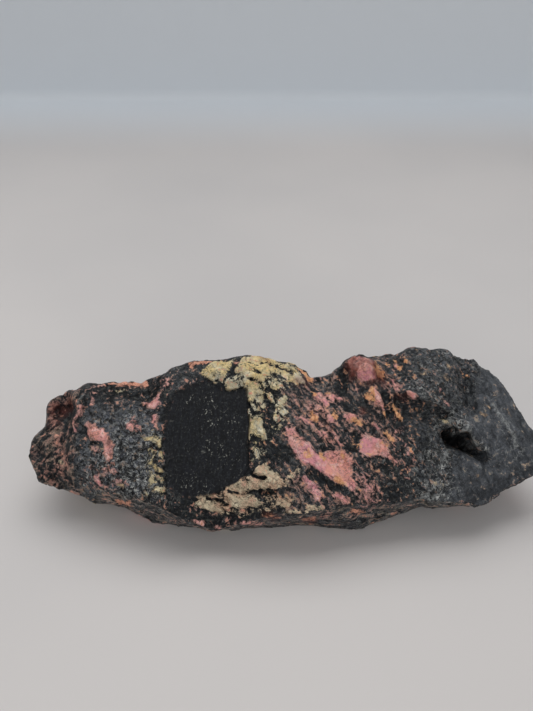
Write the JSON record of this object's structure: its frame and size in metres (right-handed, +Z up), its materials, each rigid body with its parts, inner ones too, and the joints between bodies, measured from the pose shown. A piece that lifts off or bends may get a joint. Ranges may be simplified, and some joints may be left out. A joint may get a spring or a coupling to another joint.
{
  "type": "rough rhodonite stone",
  "caption": "Long broken lump of pink rhodonite veined with black manganese oxide, with a broad sloping face, a sunk black window, a knob and a pit, lying on a flat natural break.",
  "frame": {"origin": "on the surface that the stone rests on, under the middle of the stone's box", "axes": "+X along the stone towards its smooth black end, -Y towards the side that its broad patterned face looks to, +Z up"},
  "size_m": [0.126, 0.0496, 0.0343],
  "materials": {
    "rhodonite": "broken rock, dull black with pink, cream and orange patches"
  },
  "bodies": {
    "root": {"rhodonite_stone": "rhodonite"}
  },
  "joints": []
}
